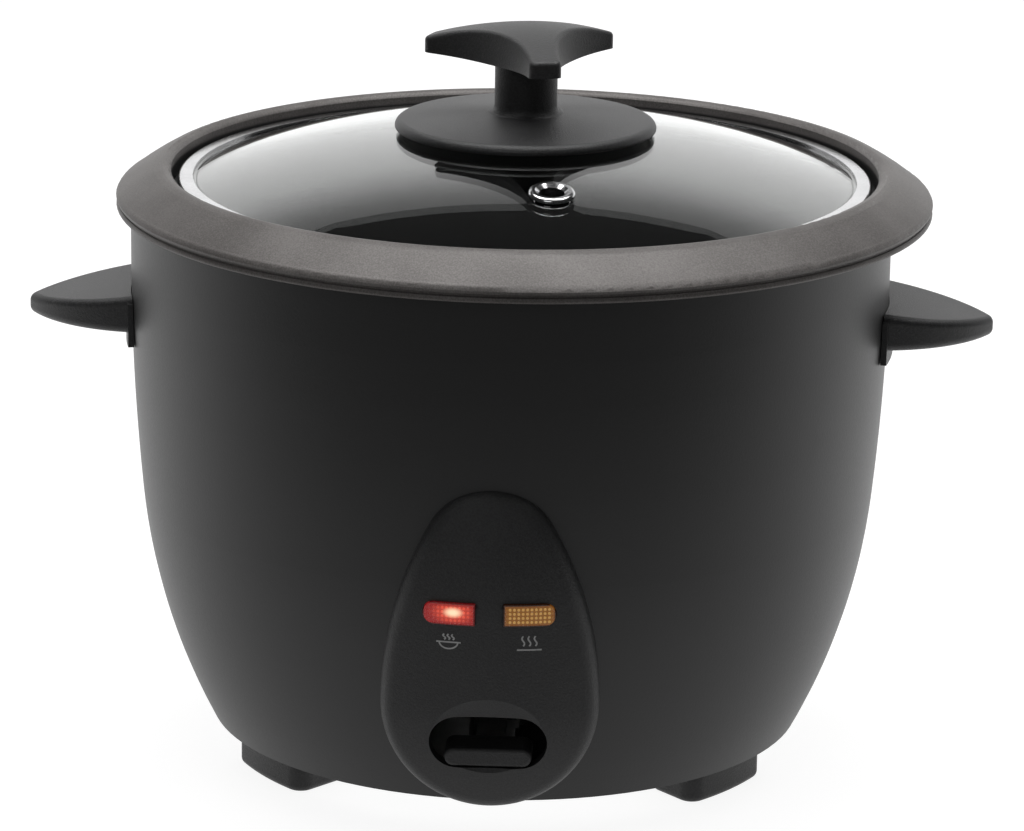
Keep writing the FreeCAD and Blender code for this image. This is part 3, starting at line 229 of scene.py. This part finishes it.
def lens_cells(paint, node):
    """Moulded cells of a lamp lens, its plain border, the dark seam round it, and offsets from its middle."""
    low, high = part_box(node)
    mid, half = (low + high) / 2, (high - low) / 2
    x, y, z = paint.parts(paint.place())
    x, z = x - mid.x, z - mid.z
    cells = (x * (math.pi / CELL)).sine() ** 2 * (z * (math.pi / CELL)).sine() ** 2
    edge = (x * x) ** 0.5 / half.x
    rise = (z * z) ** 0.5 / half.z
    border = (edge.ramp(0.84, 0.9) + rise.ramp(0.7, 0.8)).clipped()
    seam = (edge.ramp(0.93, 0.97) + rise.ramp(0.86, 0.94)).clipped()
    return cells.ramp(0.05, 0.5), border, seam, x, z


def amber_lens():
    """Lens of the lamp that is off, with a painted glow: it emits its own colours though its lamp is off."""
    paint = Paint("dark_amber_lens", Roughness=0.2, IOR=1.5, Coat_Weight=0.4)
    cells, border, seam = lens_cells(paint, "warm_lens")[:3]
    inner = paint.blend(cells, (0.34, 0.125, 0.014), (0.78, 0.43, 0.11))
    framed = paint.blend(seam, paint.blend(border, inner, (0.3, 0.1, 0.012)), (0.03, 0.008, 0.002))
    paint.feed("Base Color", framed)
    # Painted glow: the unlit lens emits its cells, plain border and dark seam at low strength
    paint.feed("Emission Color", framed)
    paint.shader.inputs["Emission Strength"].default_value = 0.35
    return paint.bump(cells, 0.0002)


def red_lens():
    """Lens of the lamp that is lit: white-hot over the lamp, deep red at the ends."""
    paint = Paint("lit_red_lens", Roughness=0.2, IOR=1.5, Coat_Weight=0.4, Base_Color=(0.3, 0.01, 0.01, 1.0))
    cells, border, seam, x, z = lens_cells(paint, "cook_lens")
    away = (((x - 1.2 * MM) * 0.55) ** 2 + (z - 0.5 * MM) ** 2) ** 0.5
    hot = 1 - away.ramp(0.3 * MM, 1.9 * MM)
    warm = 1 - away.ramp(1.2 * MM, 4.2 * MM)
    ember = paint.blend(warm, (0.2, 0.008, 0.008), (0.78, 0.09, 0.045))
    ribbed = paint.blend((1 - cells) * (1 - hot) * 0.5, ember, (0.16, 0.006, 0.005))
    rounded = paint.blend(border * 0.6, ribbed, (0.2, 0.006, 0.006))
    framed = paint.blend(seam * 0.9, rounded, (0.02, 0.001, 0.001))
    paint.feed("Emission Color", paint.blend(hot, framed, (1.0, 0.78, 0.5)))
    paint.shader.inputs["Emission Strength"].default_value = 1.0
    return paint.bump(cells, 0.0002)


PLASTIC = grained_plastic("black_grained_plastic", (0.017, 0.017, 0.0175), (0.04, 0.04, 0.041))
FINISHES = {
    "black_enamel": black_enamel(),
    "black_plastic": PLASTIC,
    "coated_aluminium": pot_coat(),
    "clear_glass": clear_glass(),
    "bright_steel": bright_metal("polished_steel", (0.72, 0.72, 0.73), 0.16),
    "plated_steel": bright_metal("zinc_plated_steel", (0.6, 0.6, 0.6), 0.34, size=0.004),
    "cast_aluminium": bright_metal("turned_aluminium", (0.7, 0.7, 0.71), 0.3, stretch=(1, 1, 0.2)),
    "element_sheath": bright_metal("dull_sheath", (0.3, 0.27, 0.25), 0.5),
    "silicone": grained_plastic("milky_silicone", (0.62, 0.6, 0.58), (0.72, 0.71, 0.69), 0.55),
    "red_lens": red_lens(),
    "amber_lens": amber_lens(),
    "white_plastic": grained_plastic("ivory_plastic", (0.66, 0.63, 0.56), (0.76, 0.73, 0.66)),
    "ceramic_dark": grained_plastic("sintered_ferrite", (0.045, 0.045, 0.048), (0.09, 0.09, 0.095), 0.6),
    "brass_contact": bright_metal("plated_brass", (0.8, 0.62, 0.32), 0.25),
    "fuse_case": bright_metal("drawn_aluminium", (0.75, 0.75, 0.76), 0.28, stretch=(1, 0.1, 1)),
}

slots = {part["node"]: part["material_slot"] for part in frame["record"]["subparts"]}
for name, piece in frame["nodes"].items():
    piece.data.materials.clear()
    piece.data.materials.append(FINISHES[slots[name]].material)

MARK_HEIGHT = 66.8 * MM
MARK_WIDE = 0.45 * MM
FACE_RADIUS = 70 * MM
INK = grained_plastic("pale_grey_ink", (0.62, 0.62, 0.62), (0.74, 0.74, 0.74), 0.6).material


def face_point(x, z):
    """Point on the bowed panel face, just clear of it."""
    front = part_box("control_panel")[0].y - 0.04 * MM
    return Vector((x, front + FACE_RADIUS - math.sqrt(FACE_RADIUS ** 2 - x * x), z))


def printed_mark(name, lines):
    """Thin printed lines on the panel face; each line is a list of (x, z) points."""
    corners, faces = [], []
    for line in lines:
        points = [Vector(point) for point in line]
        first = len(corners)
        for n, point in enumerate(points):
            along = (points[min(n + 1, len(points) - 1)] - points[max(n - 1, 0)]).normalized()
            across = Vector((-along.y, along.x)) * MARK_WIDE / 2
            corners += [face_point(*(point + across)), face_point(*(point - across))]
        faces += [(first + 2 * n, first + 2 * n + 1, first + 2 * n + 3, first + 2 * n + 2)
                  for n in range(len(points) - 1)]
    mesh = bpy.data.meshes.new(name)
    mesh.from_pydata(corners, [], faces)
    mark = bpy.data.objects.new(name, mesh)
    bpy.context.collection.objects.link(mark)
    mesh.materials.append(INK)
    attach(mark, "housing")


def wave(x, low, high):
    """An upright wavy line."""
    steps = [n / 16 for n in range(17)]
    return [(x + 0.35 * MM * math.sin(2 * math.pi * t), low + (high - low) * t) for t in steps]


def level_line(x, z):
    """A level line in short steps, so that it follows the bowed face."""
    return [(x + 3.4 * MM * (n / 8 - 1), z) for n in range(17)]


def add_marks():
    """A bowl with steam under the cook lamp and three heat waves under the warm lamp."""
    cook, warm = ((low.x + high.x) / 2 for low, high in (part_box("cook_lens"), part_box("warm_lens")))
    angles = [math.radians(180 + 180 * n / 20) for n in range(21)]
    bowl = [(cook + 2.6 * MM * math.cos(a), MARK_HEIGHT + 1.9 * MM * math.sin(a)) for a in angles]
    brim = level_line(cook, MARK_HEIGHT)
    steam = [wave(cook + shift * MM, MARK_HEIGHT + 0.7 * MM, MARK_HEIGHT + 2.3 * MM) for shift in (-1.2, 0, 1.2)]
    printed_mark("cook_mark", [bowl, brim] + steam)
    heat = [wave(warm + shift * MM, MARK_HEIGHT - 0.6 * MM, MARK_HEIGHT + 2.3 * MM) for shift in (-1.7, 0, 1.7)]
    ground = level_line(warm, MARK_HEIGHT - 1.7 * MM)
    printed_mark("warm_mark", heat + [ground])


add_marks()

# Camera of the photograph, from the fitted view
VIEW_TURN = 2.15
VIEW_RISE = 15.88
VIEW_DISTANCE = 1.4
VIEW_ROLL = 0.83
FOCUS_PIXELS = 4686
IMAGE_WIDTH = 1024
SENSOR_WIDTH = 36
AIM_RIGHT, AIM_UP = 1.04 * MM, 98.7 * MM


def add_camera():
    """Camera aimed at the middle of the cooker, with the small roll of the photograph."""
    turn, rise = math.radians(VIEW_TURN), math.radians(VIEW_RISE)
    right = Vector((math.cos(turn), math.sin(turn), 0))
    aim = right * AIM_RIGHT + Vector((0, 0, AIM_UP))
    back = Vector((math.sin(turn) * math.cos(rise), -math.cos(turn) * math.cos(rise), math.sin(rise)))
    up = back.cross(right)
    basis = Matrix((right, up, back)).transposed().to_4x4()
    camera = bpy.data.objects.new("camera", bpy.data.cameras.new("camera"))
    camera.data.sensor_width = SENSOR_WIDTH
    camera.data.lens = FOCUS_PIXELS / IMAGE_WIDTH * SENSOR_WIDTH
    roll = Matrix.Rotation(math.radians(VIEW_ROLL), 4, "Z")
    camera.matrix_world = Matrix.Translation(aim + back * VIEW_DISTANCE) @ basis @ roll
    bpy.context.collection.objects.link(camera)
    bpy.context.scene.camera = camera


# Paper sweep in metres, and how bright it is in reflections and to the camera
SWEEP_FRONT, SWEEP_BACK, SWEEP_SIDE = -3.0, 1.3, 3.0
SWEEP_CURVE, SWEEP_HEIGHT = 0.5, 1.7
SWEEP_STEPS = 24
PAPER_TINT = (0.25, 0.25, 0.25, 1.0)
MIRRORED_PAPER = (1.0, 1.0, 1.0)
SEEN_PAPER = (0.9, 0.9, 0.9)
BLACK = (0, 0, 0)
# Painted light falloff of the paper's glow in reflections: darker towards the front and up the sweep
DIM_FRONT, DIM_FROM, DIM_TO = 0.08, -0.5, 0.2
FADE_FROM, FADE_SHARE = 1.0, 0.65
ROOM = (0.045, 0.045, 0.045)


def add_floor():
    """White paper sweep, bent up behind the cooker, clear from behind: white to the camera, shadow kept."""
    profile = [(SWEEP_FRONT, 0.0)]
    for step in range(SWEEP_STEPS + 1):
        turn = math.radians(90 * step / SWEEP_STEPS)
        profile.append((SWEEP_BACK + SWEEP_CURVE * math.sin(turn), SWEEP_CURVE * (1 - math.cos(turn))))
    profile.append((SWEEP_BACK + SWEEP_CURVE, SWEEP_HEIGHT))
    corners = [(side, y, z) for y, z in profile for side in (-SWEEP_SIDE, SWEEP_SIDE)]
    faces = [(2 * n, 2 * n + 1, 2 * n + 3, 2 * n + 2) for n in range(len(profile) - 1)]
    mesh = bpy.data.meshes.new("floor")
    mesh.from_pydata(corners, [], faces)
    floor = bpy.data.objects.new("floor", mesh)
    bpy.context.collection.objects.link(floor)
    paper = Paint("white_paper", Base_Color=PAPER_TINT, Roughness=0.9)
    y, z = paper.parts(paper.place())[1:]
    # Painted light falloff: in reflections the paper glows less towards the front and fades up the sweep; to the
    # camera it stays evenly white
    painted_front_falloff = DIM_FRONT + (1 - DIM_FRONT) * y.ramp(DIM_FROM, DIM_TO)
    lit = painted_front_falloff * (1 - FADE_SHARE * z.ramp(FADE_FROM, SWEEP_HEIGHT))
    seen = paper.node("ShaderNodeLightPath", output="Is Camera Ray")
    white = paper.blend(seen, paper.blend(lit, BLACK, MIRRORED_PAPER), SEEN_PAPER)
    paper.feed("Emission Color", paper.blend(paper.backdrop_rays(), BLACK, white))
    paper.shader.inputs["Emission Strength"].default_value = 1.0
    paper.feed("Alpha", 1 - paper.node("ShaderNodeNewGeometry", output="Backfacing"))
    mesh.materials.append(paper.material)


def add_lamp(name, place, aim, size, power):
    """Flat lamp of the given width and height in metres, not shown to the camera."""
    data = bpy.data.lights.new(name, "AREA")
    data.shape = "RECTANGLE"
    data.size, data.size_y = size
    data.energy = power
    lamp = bpy.data.objects.new(name, data)
    lamp.location = place
    lamp.rotation_euler = (Vector(aim) - Vector(place)).to_track_quat("-Z", "Y").to_euler()
    lamp.visible_camera = False
    bpy.context.collection.objects.link(lamp)


def add_world():
    """Dim room light from all round, white to the camera."""
    world = bpy.data.worlds.new("room")
    bpy.context.scene.world = world
    world.use_nodes = True
    graph = Graph(world.node_tree)
    seen = graph.node("ShaderNodeLightPath", output="Is Camera Ray")
    glow = world.node_tree.nodes["Background"]
    world.node_tree.links.new(graph.blend(seen, ROOM, (1, 1, 1)).socket, glow.inputs["Color"])
    glow.inputs["Strength"].default_value = 1.0


add_camera()
add_floor()
add_world()
add_lamp("top_softbox", (0, 0.2, 1.5), (0, 0.2, 0.1), (1.8, 1.0), 26)
add_lamp("front_fill", (-0.5, -1.8, 1.2), (0, 0, 0.1), (1.0, 1.0), 3)

bpy.context.scene.view_settings.view_transform = "Standard"
